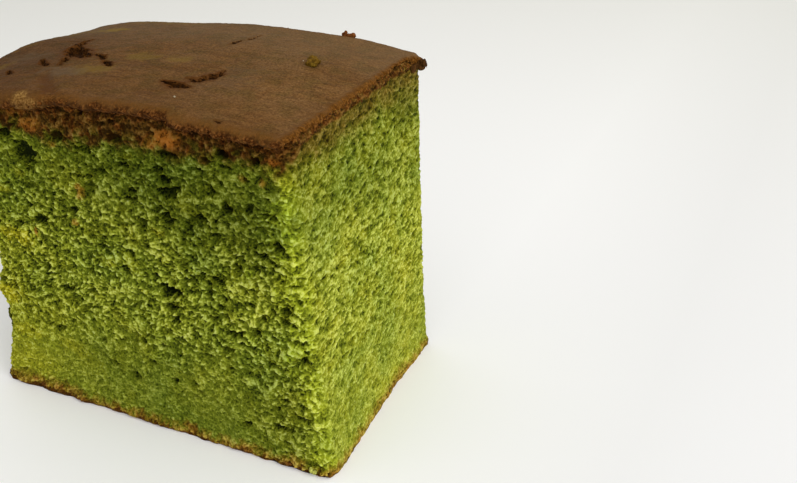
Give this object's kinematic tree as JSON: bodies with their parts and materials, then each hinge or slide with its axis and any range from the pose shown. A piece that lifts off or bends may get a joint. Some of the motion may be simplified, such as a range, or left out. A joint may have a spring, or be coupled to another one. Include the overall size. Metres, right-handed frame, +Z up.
{
  "type": "castella sponge cake",
  "caption": "Block cut from a green castella sponge loaf: open crumb, a domed browned crust that overhangs the baked sides, and a clean knife-cut end.",
  "frame": {"origin": "middle of the base, on the surface that the block stands on", "axes": "+X along the loaf, towards the knife-cut end; +Y from the wide front side to the back; +Z up"},
  "size_m": [0.0934, 0.0554, 0.0777],
  "materials": {
    "green_crumb": "matte open sponge crumb, green, paler and yellower on the cut, under a satin brown baked crust"
  },
  "bodies": {
    "root": {"castella": "green_crumb"}
  },
  "joints": []
}
